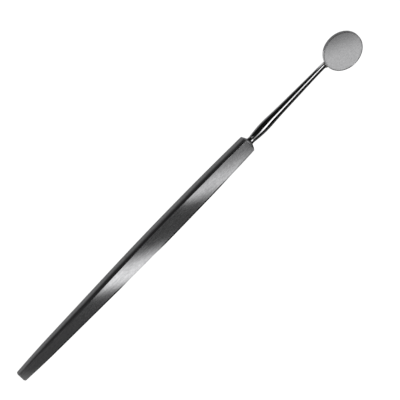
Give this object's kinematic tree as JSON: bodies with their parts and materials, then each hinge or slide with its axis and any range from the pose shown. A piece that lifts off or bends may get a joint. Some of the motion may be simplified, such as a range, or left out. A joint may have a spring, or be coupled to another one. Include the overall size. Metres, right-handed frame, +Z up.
{
  "type": "mouth mirror",
  "caption": "Dental mouth mirror: a small round front-surface mirror on a slim turned stem that screws into the end of a bevelled satin steel handle.",
  "frame": {"origin": "middle of the handle's flat underside, the face that it rests on", "axes": "+X along the handle towards the mirror, +Z up and out of the mirror's face, +Y to the left looking towards the mirror"},
  "size_m": [0.1732, 0.0156, 0.0051],
  "materials": {
    "satin_steel": "satin, fine grain along the handle",
    "black_ptfe": "matte black",
    "polished_steel": "mirror polished",
    "silver_solder": "wiped, semi-bright",
    "cup_steel": "fine satin",
    "cement": "cured epoxy",
    "front_mirror": "rhodium front coating, very slightly soft",
    "seal": "bright silvered sealing bead"
  },
  "bodies": {
    "handle": {"handle": "satin_steel"},
    "washer": {"seat_washer": "black_ptfe"},
    "head": {"stem": "polished_steel", "solder_joint": "silver_solder", "mirror_cup": "cup_steel", "bedding_cement": "cement", "mirror_glass": "front_mirror", "edge_seal": "seal"}
  },
  "joints": [
    {"name": "screw_travel", "type": "slide", "parent": "handle", "child": "washer", "axis": [1, 0, 0], "range_m": [0, 0.0048]},
    {"name": "screw_turn", "type": "hinge", "parent": "washer", "child": "head", "pos_m": [0.0596, 0, 0.0017], "axis": [1, 0, 0], "range_deg": [0, 4320]}
  ],
  "couplings": [
    {"joint": "screw_turn", "follows": "screw_travel", "rad_per_m": 15708}
  ]
}
